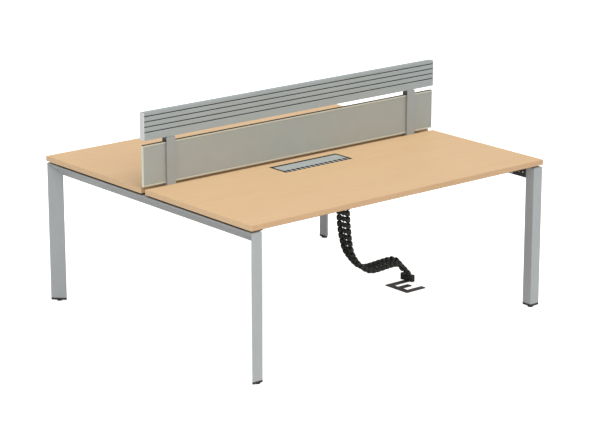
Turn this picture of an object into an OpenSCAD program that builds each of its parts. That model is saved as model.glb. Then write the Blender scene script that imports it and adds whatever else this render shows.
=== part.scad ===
// Benching desk for two people who sit face to face.
// Two tops stand on triangular tube frames, with a screen and an accessory rail between them.
// Each top has a cable flap over a tray, and a chain of links brings the cables up from the floor.
// Width runs along X, depth along Y and height along Z, and the floor is at z = 0.
// The near half of the desk is at negative Y, and near parts are the far ones mirrored.

/* [Desk] */
// Width of both tops
bench_w = 1800; // [1600:20:2000]
// Depth across both tops
bench_d = 1600; // [1400:20:1700]
// Height of the working surface
bench_h = 740; // [720:5:780]
// Thickness of the tops
top_t = 25; // [22:1:30]
// Gap between the near top and the far top
top_gap = 32; // [32:1:36]
// Thickness of the glued edge band
band_t = 2; // [1:0.5:3]

/* [End frames] */
// Width of the triangular tube to its sharp corners, across the desk's end
tube_w = 63; // [60:1:65]
// Depth of the legs' tube to its sharp corners, along the desk's end
leg_d = 63; // [58:1:65]
// Height of the beams' tube to its sharp corners
beam_drop = 64; // [58:1:68]
// Wall of the triangular tube
tube_wall = 3; // [2:0.5:4]
// Rounding of the tube's three edges
tube_r = 4; // [3.5:0.5:5]
// Dark gap between the end frames and the tops
shadow_gap = 10; // [8:1:12]

/* [Feet] */
// Radius of a levelling foot's pad
foot_r = 14; // [12:1:15]
// Height of a foot below its leg cap
foot_show = 7.5; // [7.5:0.5:12]
// Height of the leg cap that shows below the tube
cap_show = 10.5; // [8:0.5:12]

/* [Rails under the tops] */
// Width of the near and far rails
rail_w = 40; // [30:5:50]
// Width of the centre rail
centre_rail_w = 80; // [80:5:90]
// Height of all three rails
rail_h = 30; // [30:1:34]
// Wall of the rails
rail_wall = 2; // [1.5:0.5:3]
// Distance of the outer rails from the desk's front and back edge
rail_inset = 98; // [90:2:140]

/* [Screen] */
// Distance of each upright from the desk's end
post_inset = 152; // [150:10:300]
// Width of an upright's cover plate
cover_w = 50; // [48:2:60]
// Thickness of a cover plate
cover_t = 3; // [2:0.5:4]
// Height of the lower screen panel
panel_h = 195; // [160:5:240]
// Thickness of the lower screen panel
panel_t = 15; // [14:1:20]
// Gap between the tops and the panel
panel_gap = 10; // [8:1:12]
// Inset of the panel and the accessory rail from the desk's ends
screen_inset = 0; // [0:1:10]
// Height of the open slit between panel and accessory rail
slit_h = 25; // [20:1:30]
// Height of the accessory rail
slat_rail_h = 130; // [130:1:140]
// Thickness of the accessory rail
slat_rail_t = 32; // [32:1:34]
// Height of the lowest groove above the rail's bottom edge
groove_low = 38; // [37:0.5:40]
// Distance from groove to groove
groove_pitch = 25; // [24:0.5:26]
// Number of grooves on each face
groove_count = 4; // [2:1:4]
// Height of a groove's mouth
groove_mouth = 4.5; // [4:0.5:6]

/* [Cable flaps] */
// Width of a flap's surround
flap_w = 420; // [415:5:440]
// Depth of a flap's surround
flap_d = 128; // [124:2:136]
// Distance of a flap's surround from the desk's centre line
flap_back = 67; // [67:1:80]
// Number of cable notches in a lid's front edge
notch_count = 13; // [5:2:13]
// Distance from notch to notch
notch_pitch = 29; // [28:0.5:29]
// Width of a notch
notch_w = 14; // [10:1:16]
// Depth of a notch
notch_d = 32; // [16:1:34]

/* [Cable trays] */
// Length of a tray
tray_w = 470; // [450:10:600]
// Height of a tray
tray_h = 80; // [60:5:90]
// Thickness of a tray's sheet
tray_sheet = 2; // [1.5:0.5:2.5]

/* [Cable spine] */
// Distance along X from the desk's centre to the spine's head
spine_x = 200; // [180:5:200]
// Radius of a link's two round lobes
lobe_r = 13; // [12:0.5:14]
// Distance of a lobe's centre from the chain's centre line
lobe_off = 30; // [29:0.5:31]
// Wall of a link's lobes
link_wall = 4.5; // [4:0.5:5]
// Height of a link's lobes
link_h = 26; // [20:1:26]
// Largest turn of the chain about its own line, in degrees
spine_twist = 24; // [0:1:24]
// Number of links between the head and the base
link_count = 28; // [27:1:29]
// Height of the base that the lowest link stands in
base_h = 33; // [30:1:36]
// Thickness of the floor plate
floor_plate_t = 5; // [4:1:8]
// Width of the floor plate's four bars
floor_bar_w = 30; // [26:1:32]

/* [Hidden] */
$fn = 32;

silver = [0.71, 0.73, 0.73];
zinc = [0.78, 0.78, 0.76];
black = [0.11, 0.12, 0.12];
beech = [0.86, 0.72, 0.55];
beech_edge = [0.80, 0.66, 0.48];
warm_grey = [0.63, 0.61, 0.57];
trim_grey = [0.83, 0.82, 0.77];
rail_grey = [0.65, 0.64, 0.61];
end_grey = [0.80, 0.80, 0.79];

// A hair of clearance that keeps screwed and slid parts apart
ease = 0.15;
// Cuts run this much past the faces that they open
over = 1;

// Heights and planes that many parts share
top_bottom_z = bench_h - top_t;
frame_top_z = top_bottom_z - shadow_gap;
half_w = bench_w / 2;
half_d = bench_d / 2;
// The tube is placed so that its sharp tip, before rounding, would reach this far past the tops
tip_over = 2.5;
frame_x = half_w + tip_over - tube_w;
leg_bottom_z = foot_show + cap_show;
// Centre of the circle that touches all three walls of a leg
leg_in_r = (tube_w + leg_d - norm([tube_w, leg_d])) / 2;
foot_x = frame_x + leg_in_r;
foot_y = half_d - leg_in_r;

// Levelling feet and their inserts
stem_r = 5;
stem_h = 40;
pad_h = 4.5;
insert_r = 8;
insert_h = 18;
plug_h = 22;
thread_gap = 0.05;

// Rails and brackets
rail_z = top_bottom_z - rail_h;
outer_rail_y = half_d - rail_inset;
bracket_t = 4;
saddle_t = 3;
saddle_len = 60;
cheek_h = 25;
bracket_w = 85;
centre_bracket_w = 130;
bracket_bottom_z = frame_top_z - 55;
bracket_top_z = frame_top_z - 2;
bracket_hole_z = rail_z - 10;
bracket_hole_step = 27;
centre_hole_step = 50;
rail_half = frame_x - bracket_t - 0.5;
saddle_bolt_x = frame_x - bracket_t - saddle_len / 2;

// Screws: radius of shank, radius of head, height of head
wood_screw_r = 2.5;
bolt_r = 3;
tray_screw_r = 2;
head_r = 5;
head_h = 3;
tray_head_r = 4;
wood_grip = 18;
outer_screw_x = [-700, -350, 0, 350, 700] * bench_w / 1800;
centre_screw_x = [-600, -200, 200, 600] * bench_w / 1800;
centre_screw_y = (top_gap / 2 + centre_rail_w / 2) / 2;

// Packing strips in the shadow gap: set in from the tube's face, from the screen and from the leg's end
spacer_in = 8;
spacer_w = 40;
spacer_end = 6;
spacer_stop = 85;

// Screen uprights
post_x = half_w - post_inset;
post_half = cover_w / 2 - 1;
post_y = top_gap / 2 - 1.2;
panel_z = bench_h + panel_gap;
panel_top_z = panel_z + panel_h;
slat_rail_z = panel_top_z + slit_h;
screen_half = half_w - screen_inset;
neck_half = 11;
tenon_half_y = 12;
tenon_h = 25;
cover_chamfer = 5;
cover_clear = 0.2;
post_bolt_dx = 14;
post_bolt_grip = 25;

// Panel trim
trim_h = 7;
trim_web = 2;
trim_lip = 1;
end_trim_w = 3;

// Accessory rail
rail_skin = 2.5;
rail_face = 2.2;
groove_lip = 2;
groove_room = 5;
groove_deep = 6;
lip_chamfer = 1.2;
core_half = 6;
end_cap_t = 3;
peg_len = 12;

// Flaps
flap_side = 9;
flap_back_wall = 5;
flap_front_wall = 1.7;
flap_frame_h = 23;
lid_t = 4;
lid_back_gap = 12;
lid_side_gap = 10;
lid_front_gap = 3;
ledge_t = 3.7;
ledge_drop = 0.3;
hinge_r = 4;
hinge_y = flap_back + 14;
hinge_z = bench_h - lid_t - 1.5;
pin_r = 2;
pin_len = 22;
pin_gap = 0.05;
barrel_half = flap_w / 2 - flap_side - 1.5;
lid_half = flap_w / 2 - lid_side_gap;
lid_front_y = flap_back + flap_d - lid_front_gap;
corner_cut = 8;
ledge_front_d = 4.3;

// Trays
tray_y0 = flap_back - 4;
tray_y1 = flap_back + flap_d + 7;
tray_bottom_z = top_bottom_z - tray_h;
flange_w = 15;
tray_end_h = 40;
tray_bolt_x = 200;

// Spine: its path in its own upright plane, out from the head and up from the floor
spine_y = -130;
spine_turn = 4.83;
head_t = 4;
head_drop = 21;
first_joint_z = tray_bottom_z - head_drop;
last_joint_drop = 3;
spine_base_u = 475;
base_top_z = floor_plate_t + base_h;
spine_path = [
  [0, first_joint_z], [5, 460], [10, 395], [19, 335], [34, 271], [51, 235], [75, 203],
  [100, 177], [123, 157], [147, 141.5], [170, 132], [200, 127], [241, 126.5], [281, 128],
  [321, 128.5], [352, 127.5], [381, 123.5], [406, 113], [427, 96], [447, 72],
  [spine_base_u, base_top_z - last_joint_drop]
];
// Distances down the chain, each with the share of its largest turn that it has there
twist_shares = [[0, 0], [250, 0], [430, 0.6], [520, 0.4], [720, 0.4], [790, 1], [845, 1]];
web_t = 4;
web_sink = 4;
bead_cut = 3.5;
bead_low = 7;
cable_slit = 5;
hub_r = 6.5;
hub_above = 5;
ball_r = 3.6;
socket_r = 4;
neck_r = 2.3;
neck_swing = 5.6;
head_bolt_dy = 12;
head_waist = 20;
base_lobe_r = 14;
base_waist = 20;

// The floor plate's bars, seen from above
plate_x0 = 535;
plate_y0 = -237;
plate_y1 = -76;
plate_far_x = 682;
plate_mid_x = 631;
plate_mid_y = -169;
plate_front_x = 662;

// Points of one rounded corner at p, between its neighbours a and b
function unit(v) = v / norm(v);
function corner(a, p, b, r) =
  let (
    to_a = unit(a - p),
    to_b = unit(b - p),
    half = acos(to_a * to_b) / 2,
    middle = p + unit(to_a + to_b) * r / sin(half),
    first = p + to_a * r / tan(half) - middle,
    last = p + to_b * r / tan(half) - middle,
    start = atan2(first.y, first.x),
    sweep = (atan2(last.y, last.x) - start + 540) % 360 - 180,
    steps = 6
  )
  [for (i = [0:steps]) middle + r * [cos(start + sweep * i / steps), sin(start + sweep * i / steps)]];
function rounded(points, r) =
  let (n = len(points))
  [for (i = [0:n - 1]) each corner(points[(i + n - 1) % n], points[i], points[(i + 1) % n], r)];

// Right-angled tube outline: square corner at the origin, legs along +x and -y
function tube(w, d) = [[0, 0], [w, 0], [0, -d]];
// The same outline moved in by a wall thickness, about the circle that touches its three sides
function inner_tube(w, d, wall) =
  let (
    r = (w + d - norm([w, d])) / 2,
    middle = [r, -r],
    keep = (r - wall) / r
  )
  [for (p = tube(w, d)) middle + keep * (p - middle)];

// Distance along the spine's path to each of its points, and the point at any distance
function path_length(i) =
  i == 0 ? 0 : path_length(i - 1) + norm(spine_path[i] - spine_path[i - 1]);
path_u = [for (i = [0:len(spine_path) - 1]) [path_length(i), spine_path[i].x]];
path_z = [for (i = [0:len(spine_path) - 1]) [path_length(i), spine_path[i].y]];
link_step = path_length(len(spine_path) - 1) / link_count;
function joint_point(i) = [lookup(i * link_step, path_u), lookup(i * link_step, path_z)];
function link_tilt(i) =
  let (run = joint_point(i + 1) - joint_point(i))
  atan2(run.x, run.y);
function link_twist(s) =
  spine_twist * lookup(s, [each twist_shares, [path_length(len(spine_path) - 1), 0]]);

// Parts are drawn on the +X and +Y side and mirrored to their own
module side(s) mirror([s < 0 ? 1 : 0, 0, 0]) children();
module half(s) mirror([0, s < 0 ? 1 : 0, 0]) children();

// A box from one corner to the other
module block(a, b) translate(a) cube(b - a);

// A shape drawn in Y and Z and run along X from x0 to x1
module along_x(x0, x1) translate([x0, 0, 0]) rotate([90, 0, 90]) linear_extrude(x1 - x0) children();

// A round bar along X
module bar_x(x0, x1, y, z, r) translate([x0, y, z]) rotate([0, 90, 0]) cylinder(r = r, h = x1 - x0);

// A screw that points up, with the underside of its head at z
module screw_up(x, y, z, r, grip, rh = head_r, hh = head_h) {
  translate([x, y, z - hh]) cylinder(r = rh, h = hh);
  translate([x, y, z - hh / 2]) cylinder(r = r, h = grip + hh / 2);
}

// Everything above or below the plane that mitres a leg to its beam
module mitre_side(above) {
  run = 20;
  slope = beam_drop / leg_d;
  low = [half_d - leg_d - run, frame_top_z - beam_drop - run * slope];
  high = [half_d + run, frame_top_z + run * slope];
  along_x(frame_x - run, half_w + run)
    polygon(above ? [low, high, [low.x, high.y]] : [low, high, [high.x, low.y]]);
}

// Silver triangular tube, mitred to the beam at its top
module leg(sx, sy) {
  color(silver) side(sx) half(sy) difference() {
    translate([frame_x, half_d, leg_bottom_z]) linear_extrude(frame_top_z - leg_bottom_z)
      difference() {
        polygon(rounded(tube(tube_w, leg_d), tube_r));
        polygon(rounded(inner_tube(tube_w, leg_d, tube_wall), tube_r / 2));
      }
    mitre_side(true);
  }
}

// The same tube laid along Y under the ends of both tops, with screw holes for three brackets
module beam(sx) {
  color(silver) side(sx) difference() {
    translate([frame_x, 0, frame_top_z]) rotate([90, 0, 0]) linear_extrude(bench_d, center = true)
      difference() {
        polygon(rounded(tube(tube_w, beam_drop), tube_r));
        polygon(rounded(inner_tube(tube_w, beam_drop, tube_wall), tube_r / 2));
      }
    for (sy = [-1, 1]) half(sy) mitre_side(false);
    for (y = bracket_screw_y) bar_x(frame_x - over, frame_x + tube_wall + over, y, bracket_hole_z, bolt_r);
  }
}

// Black plastic cap: a flange under the tube and a plug inside it, bored for the threaded insert
module leg_cap(sx, sy) {
  color(black) side(sx) half(sy) difference() {
    translate([frame_x, half_d, foot_show]) {
      linear_extrude(cap_show) polygon(rounded(tube(tube_w, leg_d), tube_r));
      linear_extrude(cap_show + plug_h)
        polygon(rounded(inner_tube(tube_w, leg_d, tube_wall + ease), tube_r / 2));
    }
    translate([foot_x, foot_y, 0]) {
      cylinder(r = stem_r + 2 * ease, h = leg_bottom_z + plug_h + over);
      translate([0, 0, leg_bottom_z + plug_h - insert_h]) cylinder(r = insert_r, h = insert_h + over);
    }
  }
}

// Steel threaded inserts pressed into the four leg caps
module foot_inserts() {
  color(zinc) for (sx = [-1, 1], sy = [-1, 1]) side(sx) half(sy)
    translate([foot_x, foot_y, leg_bottom_z + plug_h - insert_h]) difference() {
      cylinder(r = insert_r, h = insert_h);
      translate([0, 0, -over]) cylinder(r = stem_r + thread_gap, h = insert_h + 2 * over);
    }
}

// Round levelling foot: a pad that tapers to a steel stem
module foot(sx, sy) {
  rim = 1.5;
  neck_r = 9;
  color(black) side(sx) half(sy) translate([foot_x, foot_y, 0]) {
    rotate_extrude() polygon([
      [0, 0], [foot_r - rim, 0], [foot_r, rim], [foot_r, pad_h / 2 + rim / 2], [neck_r, pad_h], [0, pad_h]
    ]);
    translate([0, 0, pad_h - over]) cylinder(r = stem_r, h = stem_h + over);
  }
}

// Rectangular steel rail across the desk, with holes for the screws that hold the tops
module rail(y, w, screw_x, screw_dy) {
  color(black) translate([0, y, 0]) difference() {
    block([-rail_half, -w / 2, rail_z], [rail_half, w / 2, top_bottom_z]);
    block([-rail_half - over, rail_wall - w / 2, rail_z + rail_wall],
      [rail_half + over, w / 2 - rail_wall, top_bottom_z - rail_wall]);
    for (x = screw_x, dy = screw_dy)
      translate([x, dy, rail_z - over]) cylinder(r = wood_screw_r + ease, h = rail_h + 2 * over);
    for (x = [-saddle_bolt_x, saddle_bolt_x])
      translate([x, 0, rail_z - over]) cylinder(r = bolt_r, h = rail_wall + 2 * over);
    if (y == 0) for (x = [-post_x, post_x], dx = [-post_bolt_dx, post_bolt_dx])
      translate([x + dx, 0, rail_z - over]) cylinder(r = bolt_r + ease, h = rail_h + 2 * over);
  }
}

// Places of the three brackets on each beam, as centre, plate width, rail width and screw step
brackets = [
  [-outer_rail_y, bracket_w, rail_w, bracket_hole_step],
  [0, centre_bracket_w, centre_rail_w, centre_hole_step],
  [outer_rail_y, bracket_w, rail_w, bracket_hole_step]
];
bracket_screw_y = [for (b = brackets, k = [-1:1]) b[0] + k * b[3]];

// Folded black steel bracket: a back plate on the beam and a saddle that carries the rail's end
module bracket(sx, b) {
  color(black) side(sx) translate([0, b[0], 0]) difference() {
    union() {
      block([frame_x - bracket_t, -b[1] / 2, bracket_bottom_z], [frame_x, b[1] / 2, bracket_top_z]);
      block([frame_x - bracket_t - saddle_len, -b[2] / 2 - ease - saddle_t, rail_z - saddle_t],
        [frame_x - bracket_t, b[2] / 2 + ease + saddle_t, rail_z]);
      for (s = [-1, 1]) half(s)
        block([frame_x - bracket_t - saddle_len, b[2] / 2 + ease, rail_z - saddle_t],
          [frame_x - bracket_t, b[2] / 2 + ease + saddle_t, rail_z - saddle_t + cheek_h]);
    }
    for (k = [-1:1])
      bar_x(frame_x - bracket_t - over, frame_x + over, k * b[3], bracket_hole_z, bolt_r + ease);
    translate([saddle_bolt_x, 0, rail_z - saddle_t - over])
      cylinder(r = bolt_r + ease, h = saddle_t + 2 * over);
  }
}

// Bright screws from the brackets into the beams, and up through each saddle into its rail
module bracket_screws() {
  color(zinc) for (sx = [-1, 1]) side(sx) {
    for (y = bracket_screw_y) {
      bar_x(frame_x - bracket_t - head_h, frame_x - bracket_t, y, bracket_hole_z, head_r);
      bar_x(frame_x - bracket_t - head_h / 2, frame_x + tube_wall, y, bracket_hole_z, bolt_r);
    }
    for (b = brackets)
      screw_up(saddle_bolt_x, b[0], rail_z - saddle_t, bolt_r, saddle_t + rail_wall, head_r - 1, 2);
  }
}

// Screws up through the rails into both tops
module rail_screws() {
  color(zinc) {
    for (x = outer_screw_x, y = [-outer_rail_y, outer_rail_y])
      screw_up(x, y, rail_z, wood_screw_r, rail_h + wood_grip);
    for (x = centre_screw_x, y = [-centre_screw_y, centre_screw_y])
      screw_up(x, y, rail_z, wood_screw_r, rail_h + wood_grip);
  }
}

// Black packing strips on top of a beam, one under each top
module spacers(sx) {
  color(black) side(sx) for (sy = [-1, 1]) half(sy)
    block([frame_x + spacer_in, top_gap / 2 + spacer_end, frame_top_z],
      [frame_x + spacer_in + spacer_w, half_d - spacer_stop, top_bottom_z]);
}

// Board of one top, cut out for its flap and drilled from below
module desk_top(sy) {
  color(beech) half(sy) difference() {
    block([band_t - half_w, top_gap / 2 + band_t, top_bottom_z], [half_w - band_t, half_d - band_t, bench_h]);
    block([-flap_w / 2, flap_back, top_bottom_z - over], [flap_w / 2, flap_back + flap_d, bench_h + over]);
    for (x = outer_screw_x)
      translate([x, outer_rail_y, top_bottom_z - over]) cylinder(r = wood_screw_r, h = wood_grip + over);
    for (x = centre_screw_x)
      translate([x, centre_screw_y, top_bottom_z - over]) cylinder(r = wood_screw_r, h = wood_grip + over);
    for (x = [-tray_bolt_x, tray_bolt_x], y = tray_screw_y)
      translate([x, y, top_bottom_z - over]) cylinder(r = tray_screw_r, h = tray_grip + over);
  }
}

// Glued band around all four edges of one top
module edge_band(sy) {
  color(beech_edge) half(sy) difference() {
    block([-half_w, top_gap / 2, top_bottom_z], [half_w, half_d, bench_h]);
    block([band_t - half_w, top_gap / 2 + band_t, top_bottom_z - over],
      [half_w - band_t, half_d - band_t, bench_h + over]);
  }
}

// Dark upright: a foot between the tops, two bars that clasp the panel, and a tenon for the rail
module post(sx) {
  color(black) side(sx) translate([post_x, 0, 0]) {
    difference() {
      block([-post_half, -post_y, top_bottom_z], [post_half, post_y, panel_z]);
      for (dx = [-post_bolt_dx, post_bolt_dx])
        translate([dx, 0, top_bottom_z - over]) cylinder(r = bolt_r, h = post_bolt_grip + over);
    }
    for (s = [-1, 1]) half(s)
      block([-post_half, panel_t / 2 + ease, panel_z - over], [post_half, post_y, panel_top_z + over]);
    block([-neck_half, -post_y, panel_top_z], [neck_half, post_y, slat_rail_z]);
    block([-neck_half, -tenon_half_y, slat_rail_z - over], [neck_half, tenon_half_y, slat_rail_z + tenon_h]);
  }
}

// Bolts up through the centre rail into the two uprights
module post_screws() {
  color(zinc) for (x = [-post_x, post_x], dx = [-post_bolt_dx, post_bolt_dx])
    screw_up(x + dx, 0, rail_z, bolt_r, rail_h + post_bolt_grip);
}

// Flat silver plate that covers one side of an upright, with its two top corners cut off
module post_cover(sx, sy) {
  low = bench_h + cover_clear;
  high = slat_rail_z - 0.5;
  w = cover_w / 2;
  color(silver) side(sx) half(sy) translate([post_x, post_y + cover_t, 0]) rotate([90, 0, 0])
    linear_extrude(cover_t) polygon([
      [-w, low], [w, low], [w, high - cover_chamfer], [w - cover_chamfer, high],
      [cover_chamfer - w, high], [-w, high - cover_chamfer]
    ]);
}

// Warm grey infill of the screen
module screen_panel() {
  inner_y = panel_t / 2 - trim_lip;
  color(warm_grey)
    block([trim_web - screen_half, -inner_y, panel_z + trim_web],
      [screen_half - trim_web, inner_y, panel_top_z - trim_web]);
}

// Light channel along the panel's top or bottom edge
module panel_trim(z, up) {
  half_t = panel_t / 2;
  color(trim_grey) translate([0, 0, z]) mirror([0, 0, up ? 0 : 1])
    along_x(end_trim_w - screen_half, screen_half - end_trim_w) difference() {
      translate([-half_t, -trim_h]) square([panel_t, trim_h]);
      translate([trim_lip - half_t, -trim_h - over]) square([panel_t - 2 * trim_lip, trim_h + over - trim_web]);
    }
}

// Light channels up both ends of the panel
module panel_end_trims() {
  half_t = panel_t / 2;
  color(trim_grey) for (sx = [-1, 1]) side(sx) difference() {
    block([screen_half - end_trim_w, -half_t, panel_z], [screen_half, half_t, panel_top_z]);
    block([screen_half - end_trim_w - over, trim_lip - half_t, panel_z + trim_web],
      [screen_half - trim_web, half_t - trim_lip, panel_top_z - trim_web]);
  }
}

// Section of the accessory rail: grooved on both faces, with hollow chambers behind
module accessory_rail_section() {
  half_t = slat_rail_t / 2;
  first = slat_rail_z + groove_low;
  room_in = half_t - groove_lip - groove_deep;
  slat_in = core_half + rail_skin;
  slat_top = [for (i = [0:groove_count - 1])
    i < groove_count - 1 ? first + (i + 1) * groove_pitch - groove_room : slat_rail_z + slat_rail_h];
  difference() {
    translate([-half_t, slat_rail_z]) square([slat_rail_t, slat_rail_h]);
    // Chamber in the plain bottom band, where the uprights' tenons sit
    translate([rail_skin - half_t, slat_rail_z + rail_skin])
      square([slat_rail_t - 2 * rail_skin, groove_low - groove_room - 2 * rail_skin]);
    // Core chamber behind the grooves
    translate([-core_half, first - groove_room])
      square([2 * core_half, slat_rail_h - groove_low + groove_room - rail_skin]);
    for (s = [-1, 1]) mirror([s < 0 ? 1 : 0, 0]) for (i = [0:groove_count - 1]) {
      z = first + i * groove_pitch;
      m = groove_mouth / 2;
      // Mouth with chamfered lips, then the wider room behind it
      polygon([
        [room_in, z - m], [half_t - lip_chamfer, z - m], [half_t + over, z - m - lip_chamfer - over],
        [half_t + over, z + m + lip_chamfer + over], [half_t - lip_chamfer, z + m], [room_in, z + m]
      ]);
      translate([room_in, z - groove_room]) square([groove_deep, 2 * groove_room]);
      // Chamber in the slat above the groove
      translate([slat_in, z + groove_room + rail_skin / 2])
        square([half_t - rail_face - slat_in, slat_top[i] - z - groove_room - rail_skin]);
    }
  }
}

// Slatted accessory rail: an extrusion the length of the screen, opened below for the tenons
module accessory_rail() {
  color(rail_grey) difference() {
    along_x(end_cap_t - screen_half, screen_half - end_cap_t) accessory_rail_section();
    for (x = [-post_x, post_x])
      block([x - neck_half - ease, -tenon_half_y - ease, slat_rail_z - over],
        [x + neck_half + ease, tenon_half_y + ease, slat_rail_z + rail_skin + over]);
  }
}

// Light end cap of the accessory rail, with a peg in its core chamber
module rail_cap(sx) {
  first = slat_rail_z + groove_low;
  half_t = slat_rail_t / 2;
  peg_half = core_half - ease;
  color(end_grey) side(sx) {
    block([screen_half - end_cap_t, -half_t, slat_rail_z], [screen_half, half_t, slat_rail_z + slat_rail_h]);
    block([screen_half - end_cap_t - peg_len, -peg_half, first],
      [screen_half - end_cap_t + over, peg_half, slat_rail_z + slat_rail_h - 2 * rail_skin]);
  }
}

// Black surround of a flap, set flush in its top, with a ledge under the lid
module flap_frame(sy) {
  in_x = flap_w / 2 - flap_side;
  in_y0 = flap_back + flap_back_wall;
  in_y1 = flap_back + flap_d - flap_front_wall;
  ledge_z = bench_h - lid_t - ledge_drop;
  ledge_in = lid_half - 5;
  ledge_y0 = hinge_y + hinge_r + 3;
  color(black) half(sy) difference() {
    union() {
      difference() {
        block([-flap_w / 2, flap_back, bench_h - flap_frame_h], [flap_w / 2, flap_back + flap_d, bench_h]);
        block([-in_x, in_y0, bench_h - flap_frame_h - over], [in_x, in_y1, bench_h + over]);
      }
      for (sx = [-1, 1]) side(sx)
        block([ledge_in, ledge_y0, ledge_z - ledge_t], [in_x + over, in_y1 + over, ledge_z]);
      block([-in_x - over, in_y1 - ledge_front_d, ledge_z - ledge_t], [in_x + over, in_y1 + over, ledge_z]);
    }
    for (sx = [-1, 1]) side(sx) bar_x(in_x - over, flap_w / 2 + over, hinge_y, hinge_z, pin_r);
  }
}

// Brushed silver lid: a plate with a row of cable notches, on a bored hinge barrel
module flap_lid(sy) {
  color(silver) half(sy) difference() {
    union() {
      block([-lid_half, flap_back + lid_back_gap, bench_h - lid_t], [lid_half, lid_front_y, bench_h]);
      bar_x(-barrel_half, barrel_half, hinge_y, hinge_z, hinge_r);
    }
    for (i = [0:notch_count - 1]) {
      x = (i - (notch_count - 1) / 2) * notch_pitch;
      block([x - notch_w / 2, lid_front_y - notch_d, bench_h - lid_t - over],
        [x + notch_w / 2, lid_front_y + over, bench_h + over]);
    }
    for (sx = [-1, 1]) side(sx) {
      block([lid_half - corner_cut, lid_front_y - notch_d, bench_h - lid_t - over],
        [lid_half + over, lid_front_y + over, bench_h + over]);
      bar_x(flap_w / 2 - pin_len - 0.5, barrel_half + over, hinge_y, hinge_z, pin_r + pin_gap);
    }
  }
}

// Two steel pins of one lid, pressed into the surround's side walls
module hinge_pins(sy) {
  color(zinc) half(sy) for (sx = [-1, 1]) side(sx)
    bar_x(flap_w / 2 - pin_len, flap_w / 2, hinge_y, hinge_z, pin_r);
}

// Screws of a tray: distances from the desk's centre line, and grip in the top
tray_screw_y = [tray_y0 - flange_w / 2, tray_y1 + flange_w / 2];
tray_grip = 15;

// Black folded steel tray under a flap, with two holes where a cable spine hangs
module cable_tray(sy) {
  hole_x = -sy * spine_x;
  color(black) half(sy) difference() {
    union() {
      difference() {
        block([-tray_w / 2, tray_y0, tray_bottom_z], [tray_w / 2, tray_y1, top_bottom_z]);
        block([-tray_w / 2 - over, tray_y0 + tray_sheet, tray_bottom_z + tray_sheet],
          [tray_w / 2 + over, tray_y1 - tray_sheet, top_bottom_z + over]);
      }
      for (x = [-tray_w / 2, tray_w / 2 - tray_sheet])
        block([x, tray_y0, tray_bottom_z], [x + tray_sheet, tray_y1, tray_bottom_z + tray_end_h]);
      block([-tray_w / 2, tray_y0 - flange_w, top_bottom_z - tray_sheet],
        [tray_w / 2, tray_y0 + tray_sheet, top_bottom_z]);
      block([-tray_w / 2, tray_y1 - tray_sheet, top_bottom_z - tray_sheet],
        [tray_w / 2, tray_y1 + flange_w, top_bottom_z]);
    }
    for (x = [-tray_bolt_x, tray_bolt_x], y = tray_screw_y)
      translate([x, y, top_bottom_z - tray_sheet - over])
        cylinder(r = tray_screw_r + ease, h = tray_sheet + 2 * over);
    translate([hole_x, -spine_y, tray_bottom_z - over]) rotate([0, 0, sy * spine_turn]) {
      for (s = [-1, 1]) translate([0, s * lobe_off, 0]) cylinder(r = lobe_r - link_wall, h = 6 * over);
      for (s = [-1, 1]) translate([0, s * head_bolt_dy, 0]) cylinder(r = tray_screw_r, h = 6 * over);
    }
  }
}

// Point of the spine's own plane, with children turned so that +z runs down the chain
module on_spine(u, z, tilt) {
  translate([spine_x, spine_y, 0]) rotate([0, 0, spine_turn]) translate([u, 0, z])
    rotate([0, tilt, 0]) children();
}

// Screws of both trays, and the two that hold the spine's head
module tray_screws() {
  color(zinc) {
    for (sy = [-1, 1]) half(sy) for (x = [-tray_bolt_x, tray_bolt_x], y = tray_screw_y)
      screw_up(x, y, top_bottom_z - tray_sheet, tray_screw_r, tray_sheet + tray_grip, tray_head_r, 2);
    for (s = [-1, 1]) on_spine(0, 0, 0)
      screw_up(0, s * head_bolt_dy, tray_bottom_z - head_t, tray_screw_r, head_t + tray_sheet, tray_head_r, 2);
  }
}

// Two round lobes along y, each with a cable chamber, and a waist of the given width between them
module lobes(r, chamber_r, waist) {
  difference() {
    union() {
      for (s = [-1, 1]) translate([0, s * lobe_off]) circle(r = r);
      square([waist, 2 * (lobe_off - r + web_sink)], center = true);
    }
    for (s = [-1, 1]) translate([0, s * lobe_off]) circle(r = chamber_r);
  }
}

// Ball on a neck, which snaps into the socket of the next link
module ball_neck(from, reach) {
  translate([0, 0, from]) cylinder(r = neck_r, h = reach - from);
  translate([0, 0, reach]) sphere(r = ball_r);
}

// Room for a ball at the origin and for its neck, which comes in from -z and swings
module socket(depth) {
  sphere(r = socket_r);
  translate([0, 0, -depth - over]) cylinder(r1 = neck_r + neck_swing, r2 = neck_r, h = depth + over);
}

// Black fitting screwed under the near tray, from which the first link hangs
module spine_head() {
  color(black) on_spine(0, tray_bottom_z, 180) {
    difference() {
      linear_extrude(head_t) lobes(lobe_r, lobe_r - link_wall, head_waist);
      for (s = [-1, 1]) translate([0, s * head_bolt_dy, -over])
        cylinder(r = tray_screw_r + ease, h = head_t + 2 * over);
    }
    translate([0, 0, head_t - over]) cylinder(r = 2 * neck_r, h = 3 * over);
    ball_neck(head_t - over, head_drop);
  }
}

// Two tubes along y that narrow towards both ends like beads, and the web between them
module bead_pair() {
  bore = lobe_r - link_wall;
  half_h = link_h / 2;
  for (s = [-1, 1]) translate([0, s * lobe_off, 0]) rotate_extrude() polygon([
    [bore, -half_h], [lobe_r - bead_cut, -half_h], [lobe_r, bead_low - half_h],
    [lobe_r, half_h - bead_low], [lobe_r - bead_cut, half_h], [bore, half_h]
  ]);
  cube([web_t, 2 * (lobe_off - lobe_r + web_sink), link_h], center = true);
}

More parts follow.
